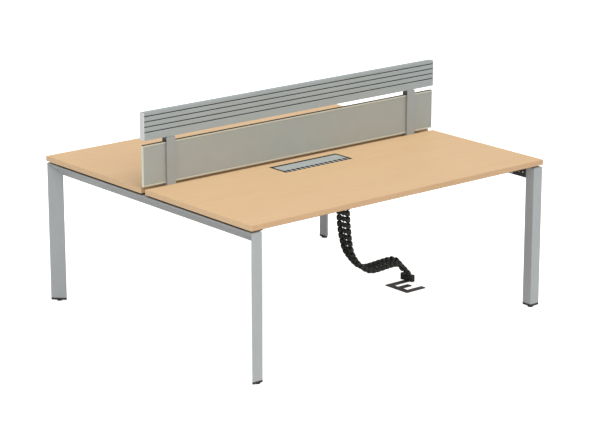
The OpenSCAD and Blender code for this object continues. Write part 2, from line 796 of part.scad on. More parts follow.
// One link: two slit beads and a web round its joint, a socketed hub, and a ball for the next link
module spine_link(reach) {
  difference() {
    union() {
      bead_pair();
      translate([0, 0, -hub_above]) cylinder(r = hub_r, h = hub_above + link_h / 2);
      ball_neck(link_h / 2 - over, reach);
    }
    socket(link_h / 2);
    for (s = [-1, 1]) translate([s * lobe_r, s * lobe_off, 0])
      cube([2 * lobe_r, cable_slit, link_h + 2 * over], center = true);
  }
}

// The chain: every link starts at one joint of the path and its ball sits in the next
module spine_links() {
  color(black) for (i = [0:link_count - 1]) {
    joint = joint_point(i);
    on_spine(joint.x, joint.y, link_tilt(i)) rotate([0, 0, link_twist(i * link_step)])
      spine_link(norm(joint_point(i + 1) - joint));
  }
}

// Block on the floor plate with two cable chambers, whose waist holds the last link's ball
module spine_base() {
  color(black) on_spine(spine_base_u, floor_plate_t, 0) difference() {
    linear_extrude(base_h) lobes(base_lobe_r, base_lobe_r - link_wall, base_waist);
    translate([0, 0, base_h - last_joint_drop]) rotate([0, link_tilt(link_count - 1), 0])
      socket(link_h / 2);
  }
}

// Flat black plate with one spine bar and three prongs, laid on the floor
module spine_floor_plate() {
  bar = floor_bar_w;
  color(black) {
    block([plate_x0, plate_y0, 0], [plate_x0 + bar, plate_y1, floor_plate_t]);
    block([plate_x0, plate_y1 - bar, 0], [plate_far_x, plate_y1, floor_plate_t]);
    block([plate_x0, plate_mid_y, 0], [plate_mid_x, plate_mid_y + bar, floor_plate_t]);
    block([plate_x0, plate_y0, 0], [plate_front_x, plate_y0 + bar, floor_plate_t]);
  }
}

leg(-1, -1);  // near_left_leg
leg(1, -1);  // near_right_leg
leg(-1, 1);  // far_left_leg
leg(1, 1);  // far_right_leg
beam(-1);  // left_beam
beam(1);  // right_beam
leg_cap(-1, -1);  // near_left_cap
leg_cap(1, -1);  // near_right_cap
leg_cap(-1, 1);  // far_left_cap
leg_cap(1, 1);  // far_right_cap
foot_inserts();
foot(-1, -1);  // near_left_foot
foot(1, -1);  // near_right_foot
foot(-1, 1);  // far_left_foot
foot(1, 1);  // far_right_foot
rail(-outer_rail_y, rail_w, outer_screw_x, [0]);  // near_rail
rail(0, centre_rail_w, centre_screw_x, [-centre_screw_y, centre_screw_y]);  // centre_rail
rail(outer_rail_y, rail_w, outer_screw_x, [0]);  // far_rail
bracket(-1, brackets[0]);  // near_left_bracket
bracket(1, brackets[0]);  // near_right_bracket
bracket(-1, brackets[1]);  // centre_left_bracket
bracket(1, brackets[1]);  // centre_right_bracket
bracket(-1, brackets[2]);  // far_left_bracket
bracket(1, brackets[2]);  // far_right_bracket
bracket_screws();
rail_screws();
spacers(-1);  // left_spacers
spacers(1);  // right_spacers
desk_top(-1);  // near_top
desk_top(1);  // far_top
edge_band(-1);  // near_edge_band
edge_band(1);  // far_edge_band
post(-1);  // left_post
post(1);  // right_post
post_screws();
post_cover(-1, -1);  // left_near_cover
post_cover(-1, 1);  // left_far_cover
post_cover(1, -1);  // right_near_cover
post_cover(1, 1);  // right_far_cover
screen_panel();
panel_trim(panel_top_z, true);  // panel_top_trim
panel_trim(panel_z, false);  // panel_bottom_trim
panel_end_trims();
accessory_rail();
rail_cap(-1);  // left_rail_cap
rail_cap(1);  // right_rail_cap
flap_frame(-1);  // near_flap_frame
flap_frame(1);  // far_flap_frame
flap_lid(-1);  // near_flap_lid
flap_lid(1);  // far_flap_lid
hinge_pins(-1);  // near_hinge_pins
hinge_pins(1);  // far_hinge_pins
cable_tray(-1);  // near_cable_tray
cable_tray(1);  // far_cable_tray
tray_screws();
spine_head();
spine_links();
spine_base();
spine_floor_plate();
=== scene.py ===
# Looks of a benching desk for two, built up round its CAD solids.
# Everything is in metres: X along the desk, Y from the near user to the far one, Z up from the floor.
# The sections follow the desk as it is put together, from the floor up to the accessory rail.

import math

import bmesh
import bpy
from mathutils import Matrix, Vector


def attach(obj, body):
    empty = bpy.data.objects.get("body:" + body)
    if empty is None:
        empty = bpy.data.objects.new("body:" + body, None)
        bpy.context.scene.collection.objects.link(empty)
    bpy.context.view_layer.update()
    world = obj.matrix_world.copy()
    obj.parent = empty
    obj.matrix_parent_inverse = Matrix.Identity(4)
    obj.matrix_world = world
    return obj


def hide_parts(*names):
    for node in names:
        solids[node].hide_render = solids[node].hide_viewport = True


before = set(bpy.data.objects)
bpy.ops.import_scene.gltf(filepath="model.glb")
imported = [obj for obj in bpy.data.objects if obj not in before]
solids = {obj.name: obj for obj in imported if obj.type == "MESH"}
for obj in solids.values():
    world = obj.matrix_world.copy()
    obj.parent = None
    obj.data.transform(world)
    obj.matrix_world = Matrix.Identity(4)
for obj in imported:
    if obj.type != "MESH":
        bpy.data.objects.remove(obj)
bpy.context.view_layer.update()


# Camera. It looks along the desk from its near left end, from a little above the screen.
# A long lens keeps the desk's edges close to parallel, as they are in the photograph.
look_azimuth = math.radians(39.584)
look_down = math.radians(16.047)
look_roll = math.radians(-0.083)
look = Vector((
    math.sin(look_azimuth) * math.cos(look_down),
    math.cos(look_azimuth) * math.cos(look_down),
    -math.sin(look_down),
))
level = Vector((math.cos(look_azimuth), -math.sin(look_azimuth), 0))
upright = level.cross(look)
camera_right = level * math.cos(look_roll) + upright * math.sin(look_roll)
camera_up = upright * math.cos(look_roll) - level * math.sin(look_roll)
camera_at = (-6.9278, -8.3880, 3.5479)
focal_pixels = 2321.212
photo_pixels = 590
film_width = 36
camera = bpy.data.objects.new("camera", bpy.data.cameras.new("camera"))
camera.data.sensor_width = film_width
camera.data.lens = focal_pixels / photo_pixels * film_width
camera.data.clip_end = 100
camera.matrix_world = (
    Matrix.Translation(camera_at)
    @ Matrix((camera_right, camera_up, -look)).transposed().to_4x4()
)
bpy.context.scene.collection.objects.link(camera)
bpy.context.scene.camera = camera


# Studio. A pale painted floor, an even white sky, and one broad soft lamp high in front of the desk.
# A small lamp low on the left adds a little to the faces nearest to it, and fades along the desk.
# The floor lies a hair under the feet. Its white glow shows to the camera and lights nothing.
bpy.context.scene.view_settings.view_transform = "Standard"
studio_sky = bpy.data.worlds.new("studio_sky")
studio_sky.use_nodes = True
studio_sky.node_tree.nodes["Background"].inputs["Color"].default_value = (0.97, 0.985, 1.0, 1)
studio_sky.node_tree.nodes["Background"].inputs["Strength"].default_value = 0.46
bpy.context.scene.world = studio_sky

studio_lamp = bpy.data.objects.new("studio_lamp", bpy.data.lights.new("studio_lamp", "SUN"))
studio_lamp.data.energy = 2.60
studio_lamp.data.angle = math.radians(80)
studio_lamp.data.color = (1.0, 0.985, 0.96)
lamp_from = Vector((-0.07, -0.50, 1.0))
studio_lamp.rotation_mode = "QUATERNION"
studio_lamp.rotation_quaternion = lamp_from.to_track_quat("Z", "Y")
bpy.context.scene.collection.objects.link(studio_lamp)

side_lamp = bpy.data.objects.new("side_lamp", bpy.data.lights.new("side_lamp", "AREA"))
side_lamp.data.energy = 16
side_lamp.data.size = 1.6
side_lamp.location = (-3.0, -3.0, 1.5)
side_lamp_aim = Vector((0, 0, 0.7))
side_lamp.rotation_mode = "QUATERNION"
side_lamp.rotation_quaternion = (side_lamp.location - side_lamp_aim).to_track_quat("Z", "Y")
bpy.context.scene.collection.objects.link(side_lamp)

floor_half = 60.0
floor_drop = 0.0002
floor_glow = 0.84
floor_form = bmesh.new()
floor_form.faces.new([
    floor_form.verts.new((x * floor_half, y * floor_half, -floor_drop))
    for x, y in ((-1, -1), (1, -1), (1, 1), (-1, 1))
])
floor_mesh = bpy.data.meshes.new("studio_floor")
floor_form.to_mesh(floor_mesh)
floor_form.free()
floor = bpy.data.objects.new("studio_floor", floor_mesh)
bpy.context.scene.collection.objects.link(floor)


def shader_group(name, inputs, outputs):
    """A node group with its named inputs, each with the value it starts from, and its named outputs."""
    group = bpy.data.node_groups.new(name, "ShaderNodeTree")
    for label, kind, value in inputs:
        entry = group.interface.new_socket(name=label, in_out="INPUT", socket_type=kind)
        entry.default_value = value
    for label, kind in outputs:
        group.interface.new_socket(name=label, in_out="OUTPUT", socket_type=kind)
    return group, group.nodes.new("NodeGroupInput"), group.nodes.new("NodeGroupOutput")


def noise(tree, where, scale, detail, roughness=0.5):
    """A noise texture at a point, in lumps per metre."""
    lumps = tree.nodes.new("ShaderNodeTexNoise")
    lumps.inputs["Scale"].default_value = scale
    lumps.inputs["Detail"].default_value = detail
    lumps.inputs["Roughness"].default_value = roughness
    tree.links.new(where, lumps.inputs["Vector"])
    return lumps.outputs["Fac"]


def spread(tree, value, low, high, out_low=0.0, out_high=1.0):
    """A value stretched from one range to another, and clamped."""
    stretch = tree.nodes.new("ShaderNodeMapRange")
    for label, number in (("From Min", low), ("From Max", high), ("To Min", out_low), ("To Max", out_high)):
        if isinstance(number, bpy.types.NodeSocket):
            tree.links.new(number, stretch.inputs[label])
        else:
            stretch.inputs[label].default_value = number
    tree.links.new(value, stretch.inputs["Value"])
    return stretch.outputs["Result"]


def sums(tree, kind, a, b):
    """One Math node on two values, of which either may be a plain number."""
    step = tree.nodes.new("ShaderNodeMath")
    step.operation = kind
    for place, value in ((0, a), (1, b)):
        if isinstance(value, bpy.types.NodeSocket):
            tree.links.new(value, step.inputs[place])
        else:
            step.inputs[place].default_value = value
    return step.outputs[0]


def mixed(tree, amount, a, b):
    """Two colours mixed by an amount, of which any may be a plain value."""
    mix = tree.nodes.new("ShaderNodeMix")
    mix.data_type = "RGBA"
    for place, value in ((0, amount), (6, a), (7, b)):
        if isinstance(value, bpy.types.NodeSocket):
            tree.links.new(value, mix.inputs[place])
        else:
            mix.inputs[place].default_value = value
    return mix.outputs[2]


def object_point(tree):
    """The point on the object, in metres."""
    return tree.nodes.new("ShaderNodeTexCoord").outputs["Object"]


def axes_of(tree, where):
    """The x, y and z of a point, each by itself."""
    split = tree.nodes.new("ShaderNodeSeparateXYZ")
    tree.links.new(where, split.inputs[0])
    return split.outputs["X"], split.outputs["Y"], split.outputs["Z"]


def beyond(tree, across, limit):
    """One where a coordinate is further from the desk's middle than a limit, and nought nearer to it."""
    return sums(tree, "GREATER_THAN", sums(tree, "ABSOLUTE", across, 0.0), limit)


# Sprayed or moulded skin: a fine peel or grain, broad faint clouds in the colour, and worn patches.
# Powder coat, moulded plastic and the painted floor all use it with their own sizes.
# Past "End From", at the two ends of the desk, a strip can be painted in a paler end colour of its own, a
# painted highlight for light on the end faces.
skin, skin_in, skin_out = shader_group(
    "skin",
    [
        ("Colour", "NodeSocketColor", (0.5, 0.5, 0.5, 1)),
        ("Cloud Colour", "NodeSocketColor", (0.45, 0.45, 0.45, 1)),
        ("Grain Scale", "NodeSocketFloat", 900.0),
        ("Roughness Low", "NodeSocketFloat", 0.4),
        ("Roughness High", "NodeSocketFloat", 0.55),
        ("End From", "NodeSocketFloat", 10.0),
        ("End Light Colour", "NodeSocketColor", (0.5, 0.5, 0.5, 1)),
    ],
    [("Color", "NodeSocketColor"), ("Roughness", "NodeSocketFloat"), ("Height", "NodeSocketFloat")],
)
cloud_share = 0.55
fleck_share = 0.45
skin_point = object_point(skin)
# Past "End From" the colour turns to the end colour, a painted highlight for light on the end faces.
skin_end_painted_light = beyond(skin, axes_of(skin, skin_point)[0], skin_in.outputs["End From"])
skin_cloud = spread(skin, noise(skin, skin_point, 9.0, 4.0, 0.6), 0.35, 0.68)
skin_speck = skin.nodes.new("ShaderNodeTexNoise")
skin_speck.inputs["Detail"].default_value = 3.0
skin.links.new(skin_point, skin_speck.inputs["Vector"])
skin.links.new(skin_in.outputs["Grain Scale"], skin_speck.inputs["Scale"])
skin_fleck = sums(skin, "MULTIPLY", spread(skin, skin_speck.outputs["Fac"], 0.3, 0.7), fleck_share)
skin_shade = sums(skin, "ADD", sums(skin, "MULTIPLY", skin_cloud, cloud_share), skin_fleck)
skin_face = mixed(skin, skin_shade, skin_in.outputs["Colour"], skin_in.outputs["Cloud Colour"])
skin.links.new(mixed(skin, skin_end_painted_light, skin_face, skin_in.outputs["End Light Colour"]), skin_out.inputs["Color"])
skin_rub = spread(
    skin, noise(skin, skin_point, 26.0, 3.0, 0.55), 0.3, 0.7,
    skin_in.outputs["Roughness Low"], skin_in.outputs["Roughness High"],
)
skin.links.new(skin_rub, skin_out.inputs["Roughness"])
skin.links.new(skin_speck.outputs["Fac"], skin_out.inputs["Height"])


def finish_of(name, effect, values, bump, depth=0.0002, metallic=0.0):
    """A material: one effect group, with its own values, on one Principled shader with a bump."""
    material = bpy.data.materials.new(name)
    material.use_nodes = True
    tree = material.node_tree
    shader = tree.nodes["Principled BSDF"]
    shader.inputs["Metallic"].default_value = metallic
    group = tree.nodes.new("ShaderNodeGroup")
    group.node_tree = effect
    for label, value in values.items():
        group.inputs[label].default_value = value
    relief = tree.nodes.new("ShaderNodeBump")
    relief.inputs["Strength"].default_value = bump
    relief.inputs["Distance"].default_value = depth
    tree.links.new(group.outputs["Height"], relief.inputs["Height"])
    tree.links.new(group.outputs["Color"], shader.inputs["Base Color"])
    tree.links.new(group.outputs["Roughness"], shader.inputs["Roughness"])
    tree.links.new(relief.outputs["Normal"], shader.inputs["Normal"])
    return material


floor_paint = finish_of("floor_paint", skin, {
    "Colour": (0.64, 0.64, 0.64, 1),
    "Cloud Colour": (0.62, 0.62, 0.62, 1),
    "Grain Scale": 120.0,
    "Roughness Low": 0.75,
    "Roughness High": 0.85,
}, bump=0.02)
floor.data.materials.append(floor_paint)
floor_shader = floor_paint.node_tree.nodes["Principled BSDF"]
floor_shader.inputs["Emission Color"].default_value = (floor_glow, floor_glow, floor_glow, 1)
seen_directly = floor_paint.node_tree.nodes.new("ShaderNodeLightPath").outputs["Is Camera Ray"]
floor_paint.node_tree.links.new(seen_directly, floor_shader.inputs["Emission Strength"])


# Cable spine. A chain of moulded black links hangs from under the near tray and curves down to its base.
# Each link is two round lobes that hold the cables, on a web with a ball-and-socket joint to the next.
# A lobe is a bead, cut back at both its ends, with a slit down its outer side for pressing a cable in.
spine_x = 0.200
spine_y = -0.130
spine_turn = math.radians(4.83)
spine_points = [
    (0.0, 0.614), (0.005, 0.460), (0.010, 0.395), (0.019, 0.335), (0.034, 0.271), (0.051, 0.235),
    (0.075, 0.203), (0.100, 0.177), (0.123, 0.157), (0.147, 0.1415), (0.170, 0.132), (0.200, 0.127),
    (0.241, 0.1265), (0.281, 0.128), (0.321, 0.1285), (0.352, 0.1275), (0.381, 0.1235),
    (0.406, 0.113), (0.427, 0.096), (0.447, 0.072), (0.475, 0.035),
]
link_count = 28
lobe_radius = 0.013
lobe_offset = 0.030
lobe_wall = 0.0045
link_height = 0.026
bead_cut = 0.0035
bead_low = 0.007
bore_edge = 0.0008
web_thickness = 0.004
web_in_hub = 0.002
web_in_lobe = 0.0038
web_inset = 0.0004
web_edge = 0.0005
hub_radius = 0.0065
hub_edge = 0.0006
hub_shoulder = 0.0008
neck_radius = 0.0023
neck_end = 0.0034
ball_radius = 0.0036
socket_mouth = 0.005
socket_cup = [(0, 0.0045), (0.0036, 0.002), (0.0040, -0.001), (0.0043, -socket_mouth)]
cable_slit = 0.005
largest_twist = math.radians(24)
spine_place = (
    Matrix.Translation((spine_x, spine_y, 0)) @ Matrix.Rotation(spine_turn, 4, "Z")
)


def along(stations, distance):
    """The value at a distance, straight between the stations before and after it."""
    for (near, low), (far, high) in zip(stations, stations[1:]):
        if distance <= far or far == stations[-1][0]:
            share = (distance - near) / (far - near)
            return low + (high - low) * share


run = [0.0]
for a, b in zip(spine_points, spine_points[1:]):
    run.append(run[-1] + math.dist(a, b))
link_step = run[-1] / link_count
twist_shares = [
    (0.0, 0.0), (0.250, 0.0), (0.430, 0.6), (0.520, 0.4),
    (0.720, 0.4), (0.790, 1.0), (0.845, 1.0), (run[-1], 0.0),
]
joints = [
    Vector((
        along(list(zip(run, [p[0] for p in spine_points])), link_step * i),
        0,
        along(list(zip(run, [p[1] for p in spine_points])), link_step * i),
    ))
    for i in range(link_count + 1)
]


def swept(form, outline, place, steps, start=0.0, end=2 * math.pi):
    """Sweeps a closed outline of radius and height round an axis, whole or as a C with closed ends."""
    whole = end - start > 2 * math.pi - 1e-6
    rings = []
    for k in range(steps if whole else steps + 1):
        angle = start + (end - start) * k / steps
        rings.append([
            form.verts.new(place @ Vector((r * math.cos(angle), r * math.sin(angle), h)))
            for r, h in outline
        ])
    n = len(outline)
    for k in range(steps):
        this, that = rings[k], rings[(k + 1) % len(rings)]
        for j in range(n):
            form.faces.new((this[j], that[j], that[(j + 1) % n], this[(j + 1) % n]))
    if not whole:
        form.faces.new(rings[0])
        form.faces.new(list(reversed(rings[-1])))


def turned(form, outline, place, steps):
    """Turns an open outline of radius and height, as on a lathe. It starts and ends on the axis."""
    rings = []
    for r, h in outline:
        if r < 1e-7:
            rings.append([form.verts.new(place @ Vector((0, 0, h)))])
        else:
            rings.append([
                form.verts.new(place @ Vector((
                    r * math.cos(2 * math.pi * k / steps), r * math.sin(2 * math.pi * k / steps), h
                )))
                for k in range(steps)
            ])
    for this, that in zip(rings, rings[1:]):
        for k in range(steps):
            m = (k + 1) % steps
            corners = [this[k % len(this)], this[m % len(this)], that[m % len(that)], that[k % len(that)]]
            form.faces.new(list(dict.fromkeys(corners)))


def rounded_slab(form, low, high, place, edge):
    """A slab from one corner to the other, with its edges rounded."""
    corners = [
        form.verts.new(place @ Vector((x, y, z)))
        for x in (low[0], high[0]) for y in (low[1], high[1]) for z in (low[2], high[2])
    ]
    sides = [(0, 1, 3, 2), (4, 6, 7, 5), (0, 4, 5, 1), (2, 3, 7, 6), (0, 2, 6, 4), (1, 5, 7, 3)]
    faces = [form.faces.new([corners[k] for k in side]) for side in sides]
    edges = {e for face in faces for e in face.edges}
    bmesh.ops.bevel(form, geom=list(edges), offset=edge, segments=2, profile=0.6, affect="EDGES")


def rim_outline(inner, outer, low, high, edge):
    """The section of a ring wall, with its four corners rounded."""
    points = []
    for cx, cz, first in (
        (outer - edge, low + edge, -90), (outer - edge, high - edge, 0),
        (inner + edge, high - edge, 90), (inner + edge, low + edge, 180),
    ):
        for k in range(3):
            angle = math.radians(first + 45 * k)
            points.append((cx + edge * math.cos(angle), cz + edge * math.sin(angle)))
    return points


def as_piece(name, form, material, body="bench", smooth=40):
    """Makes a piece of a finished form, smooth except at its sharp edges, and hangs it on its body."""
    bmesh.ops.recalc_face_normals(form, faces=form.faces)
    for face in form.faces:
        face.smooth = True
    for edge in form.edges:
        if len(edge.link_faces) == 2 and edge.calc_face_angle() > math.radians(smooth):
            edge.smooth = False
    mesh = bpy.data.meshes.new(name)
    form.to_mesh(mesh)
    form.free()
    piece = bpy.data.objects.new(name, mesh)
    for layer in material if isinstance(material, (list, tuple)) else [material]:
        mesh.materials.append(layer)
    bpy.context.scene.collection.objects.link(piece)
    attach(piece, body)
    return piece


spine_plastic = finish_of("spine_plastic", skin, {
    "Colour": (0.0150, 0.0180, 0.0155, 1),
    "Cloud Colour": (0.0235, 0.0270, 0.0240, 1),
    "Grain Scale": 1400.0,
    "Roughness Low": 0.36,
    "Roughness High": 0.52,
}, bump=0.25, depth=0.0001)


def ball_on_neck(ball_at):
    """The outline of a neck's end and of the ball on it, round to the axis."""
    round_ball = [
        (ball_radius * math.sin(math.radians(a)), ball_at - ball_radius * math.cos(math.radians(a)))
        for a in range(45, 181, 15)
    ]
    return [(neck_radius, ball_at - neck_end)] + round_ball


lobe_bore = lobe_radius - lobe_wall
half_height = link_height / 2
bead_end = [
    (lobe_bore, bore_edge),
    (lobe_bore + bore_edge, 0),
    (lobe_radius - bead_cut, 0),
    (lobe_radius - bead_cut * 0.42, bead_low * 0.22),
    (lobe_radius - bead_cut * 0.1, bead_low * 0.62),
    (lobe_radius, bead_low),
]
lobe_outline = (
    [(r, h - half_height) for r, h in bead_end]
    + [(r, half_height - h) for r, h in reversed(bead_end)]
)
slit_angle = math.asin(cable_slit / 2 / lobe_radius)
web_from = hub_radius - web_in_hub
web_to = lobe_offset - lobe_radius + web_in_lobe
chain_form = bmesh.new()
for i in range(link_count):
    span = joints[i + 1] - joints[i]
    place = (
        spine_place
        @ Matrix.Translation(joints[i])
        @ Matrix.Rotation(math.atan2(span.x, span.z), 4, "Y")
        @ Matrix.Rotation(largest_twist * along(twist_shares, link_step * i), 4, "Z")
    )
    for side in (1, -1):
        lobe = place @ Matrix.Translation((0, side * lobe_offset, 0))
        opening = 0 if side > 0 else math.pi
        swept(chain_form, lobe_outline, lobe, 26, opening + slit_angle, opening + 2 * math.pi - slit_angle)
    for low_y, high_y in ((web_from, web_to), (-web_to, -web_from)):
        rounded_slab(
            chain_form, (-web_thickness / 2, low_y, web_inset - half_height),
            (web_thickness / 2, high_y, half_height - web_inset), place, web_edge,
        )
    turned(chain_form, socket_cup + [
        (hub_radius - hub_edge, -socket_mouth), (hub_radius, hub_edge - socket_mouth),
        (hub_radius, half_height - hub_shoulder), (hub_radius - hub_shoulder, half_height),
        (neck_radius + hub_edge, half_height), (neck_radius, half_height + hub_shoulder),
    ] + ball_on_neck(span.length), place, 20)

chain = as_piece("spine_chain", chain_form, spine_plastic)
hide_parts("spine_links")


# Spine head and base. The head is a flat plate screwed under the near tray, and its ball hangs in the
# first link's socket. The base is a weighted block with two cable chambers, screwed on the floor plate,
# and a cup in its waist holds the last link's ball. Both are moulded in the links' black plastic.
head_plate = 0.004
head_half_width = 0.010
head_half_length = 0.0206
head_stub_radius = 0.0075
head_drop = 0.021
tray_bottom = 0.635
base_height = 0.033
base_radius = 0.014
waist_half_width = 0.010
waist_from = 0.0062
waist_to = 0.0198
waist_floor_half = 0.0070
waist_step = 0.0085
cup_bore = 0.0044
cup_radius = 0.0078
cup_depth = 0.010
plate_thickness = 0.005
base_place = spine_place @ Matrix.Translation((spine_points[-1][0], 0, plate_thickness))
head_place = spine_place @ Matrix.Translation((0, 0, tray_bottom)) @ Matrix.Rotation(math.pi, 4, "Y")

head_form = bmesh.new()
for side in (1, -1):
    swept(
        head_form, rim_outline(lobe_bore, lobe_radius, 0.0, head_plate, 0.0009),
        head_place @ Matrix.Translation((0, side * lobe_offset, 0)), steps=32,
    )
rounded_slab(
    head_form, (-head_half_width, -head_half_length, 0),
    (head_half_width, head_half_length, head_plate), head_place, 0.0006,
)
turned(head_form, [
    (0, 0.001), (head_stub_radius, 0.001), (head_stub_radius, head_plate + 0.0003),
    (0.0052, head_plate + 0.0015), (neck_radius, head_plate + 0.0045),
] + ball_on_neck(head_drop), head_place, 24)
head = as_piece("spine_head_fitting", head_form, spine_plastic)
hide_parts("spine_head")

base_form = bmesh.new()
for side in (1, -1):
    swept(
        base_form, rim_outline(base_radius - lobe_wall, base_radius, 0.0, base_height, 0.0014),
        base_place @ Matrix.Translation((0, side * lobe_offset, 0)), steps=36,
    )
for low_y, high_y, top, edge in (
    (waist_from, waist_to, base_height, 0.0007),
    (-waist_to, -waist_from, base_height, 0.0007),
    (-waist_floor_half, waist_floor_half, base_height - waist_step, 0.0006),
):
    rounded_slab(
        base_form, (-waist_half_width, low_y, 0), (waist_half_width, high_y, top), base_place, edge,
    )
swept(
    base_form, rim_outline(cup_bore, cup_radius, base_height - cup_depth, base_height, 0.0006),
    base_place, steps=28,
)
base = as_piece("spine_base_block", base_form, spine_plastic)
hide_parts("spine_base")


# Floor plate. A flat black steel plate lies on the floor: one bar along the desk's depth and three prongs.
# It is cut from sheet and powder coated, and the spine's base stands screwed on its far prong.
def dress(node, material, edge):
    """Gives a CAD solid its finish, and takes the knife edge off it with a small rounding."""
    solid = solids[node]
    if not solid.data.materials:
        solid.data.materials.append(material)
    for place in range(len(solid.material_slots)):
        solid.material_slots[place].material = material
    if edge:
        weld = solid.modifiers.new("weld", "WELD")
        weld.merge_threshold = 0.00002
        rounding = solid.modifiers.new("rounding", "BEVEL")
        rounding.width = edge
        rounding.segments = 2
        rounding.limit_method = "ANGLE"
        rounding.angle_limit = math.radians(32)
        rounding.harden_normals = True
        rounding.use_clamp_overlap = True
    return solid


black_coat = finish_of("black_coat", skin, {
    "Colour": (0.020, 0.020, 0.020, 1),
    "Cloud Colour": (0.030, 0.030, 0.029, 1),
    "Grain Scale": 1000.0,
    "Roughness Low": 0.42,
    "Roughness High": 0.58,
}, bump=0.3, depth=0.0001)
plate_coat = finish_of("plate_coat", skin, {
    "Colour": (0.050, 0.048, 0.049, 1),
    "Cloud Colour": (0.078, 0.075, 0.076, 1),
    "Grain Scale": 420.0,
    "Roughness Low": 0.50,
    "Roughness High": 0.66,
}, bump=0.35, depth=0.00015)
floor_plate = dress("spine_floor_plate", plate_coat, 0.0006)


# Levelling feet. A turned black pad with a soft tread stands under each leg on a steel stem.
# The stem's thread runs up into the insert of the leg's cap, and the foot screws in and out.
foot_at = (0.857952, 0.781548)
foot_radius = 0.014
pad_height = 0.0045
pad_outline = [
    (0, 0.0006), (0.0095, 0.0006), (0.0100, 0), (foot_radius - 0.0016, 0), (foot_radius - 0.0004, 0.0005),
    (foot_radius, 0.0014), (foot_radius, 0.0024), (foot_radius - 0.0004, 0.0029),
    (0.0122, 0.0033), (0.0098, 0.0041), (0.0092, pad_height), (0, pad_height),
]
stem_radius = 0.005
stem_sink = 0.001
stem_top = 0.0445
thread_depth = 0.0004
thread_pitch = 0.0015
foot_plastic = finish_of("foot_plastic", skin, {
    "Colour": (0.018, 0.018, 0.018, 1),
    "Cloud Colour": (0.030, 0.029, 0.028, 1),
    "Grain Scale": 1200.0,
    "Roughness Low": 0.45,
    "Roughness High": 0.62,
}, bump=0.3, depth=0.0001)
bright_steel = finish_of("bright_steel", skin, {
    "Colour": (0.66, 0.66, 0.64, 1),
    "Cloud Colour": (0.52, 0.52, 0.50, 1),
    "Grain Scale": 700.0,
    "Roughness Low": 0.24,
    "Roughness High": 0.38,
}, metallic=0.95, bump=0.12, depth=0.00005)

stem_outline = [(0, pad_height - stem_sink), (stem_radius - thread_depth, pad_height - stem_sink)]
thread_at = pad_height + 0.0005
while thread_at < stem_top - 0.0012:
    stem_outline.append((stem_radius - thread_depth, thread_at))
    stem_outline.append((stem_radius, thread_at + thread_pitch / 2))
    thread_at += thread_pitch
stem_outline += [(stem_radius - 2 * thread_depth, stem_top - thread_depth), (0, stem_top)]

for corner, sx, sy in (
    ("near_left", -1, -1), ("near_right", 1, -1), ("far_left", -1, 1), ("far_right", 1, 1),
):
    foot_form = bmesh.new()
    place = Matrix.Translation((sx * foot_at[0], sy * foot_at[1], 0))
    turned(foot_form, pad_outline, place, 40)
    pad_faces = len(foot_form.faces)
    turned(foot_form, stem_outline, place, 20)
    for number, face in enumerate(list(foot_form.faces)):
        face.material_index = 0 if number < pad_faces else 1
    foot = as_piece(
        f"{corner}_levelling_foot", foot_form, [foot_plastic, bright_steel],
        body=f"{corner}_leveller", smooth=35,
    )
    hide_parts(f"{corner}_foot")


# Leg caps and inserts. A moulded black cap closes the foot of each leg, and shows below the tube.
# A steel insert with an inner thread is pressed into the cap for the levelling foot.
cap_plastic = finish_of("cap_plastic", skin, {
    "Colour": (0.020, 0.020, 0.020, 1),
    "Cloud Colour": (0.032, 0.031, 0.030, 1),
    "Grain Scale": 1300.0,
    "Roughness Low": 0.40,
    "Roughness High": 0.55,
}, bump=0.3, depth=0.0001)
for corner in ("near_left", "near_right", "far_left", "far_right"):
    dress(f"{corner}_cap", cap_plastic, 0.0007)
dress("foot_inserts", bright_steel, 0.0003)


# End frames. Each is two legs and a beam of triangular steel tube, mitred and welded at the corners.
# The tube is coated in silver powder with a fine metal fleck, which gathers light along its rounded edges.
frame_silver = finish_of("frame_silver", skin, {
    "Colour": (0.448, 0.472, 0.481, 1),
    "Cloud Colour": (0.415, 0.437, 0.445, 1),
    "Grain Scale": 1500.0,
    "Roughness Low": 0.36,
    "Roughness High": 0.46,
}, metallic=0.25, bump=0.12, depth=0.00008)
for corner in ("near_left", "near_right", "far_left", "far_right"):
    dress(f"{corner}_leg", frame_silver, 0.0004)
for end in ("left", "right"):
    dress(f"{end}_beam", frame_silver, 0.0004)


# Brackets. Folded black steel brackets are screwed to the inner face of each beam and carry the rails.
# Their bright screws have flat round heads with a hexagon socket, and show against the black plate.
for corner in ("near_left", "near_right", "centre_left", "centre_right", "far_left", "far_right"):
    dress(f"{corner}_bracket", black_coat, 0.0005)


large_head = (0.005, 0.003, 0.0023)
small_head = (0.004, 0.002, 0.0018)


def socket_screw(form, place, head, shank):
    """A screw whose head hangs below the origin, with a hexagon socket, and whose shank points up.

    The head is its radius, its height and the socket's radius. The shank is its radius and its end.
    """
    head_radius, head_height, key_radius = head
    shank_radius, shank_end = shank
    steps = 24
    key_depth = head_height * 0.6
    loops = []
    for radius, height in (
        (key_radius, -head_height + key_depth), (key_radius, -head_height),
        (head_radius - 0.0006, -head_height), (head_radius, -head_height + 0.0006),
        (head_radius, -0.0002), (head_radius - 0.0002, 0), (shank_radius, 0),
        (shank_radius, shank_end - 0.001), (shank_radius * 0.7, shank_end),
    ):
        loop = []
        for k in range(steps):
            angle = 2 * math.pi * k / steps
            reach = radius
            if radius == key_radius:
                facet = (angle + math.pi / 6) % (math.pi / 3) - math.pi / 6
                reach = radius * math.cos(math.pi / 6) / math.cos(facet)
            rim = Vector((reach * math.cos(angle), reach * math.sin(angle), height))
            loop.append(form.verts.new(place @ rim))
        loops.append(loop)
    for this, that in zip(loops, loops[1:]):
        for k in range(steps):
            form.faces.new((this[k], this[(k + 1) % steps], that[(k + 1) % steps], that[k]))
    form.faces.new(loops[0])
    form.faces.new(list(reversed(loops[-1])))


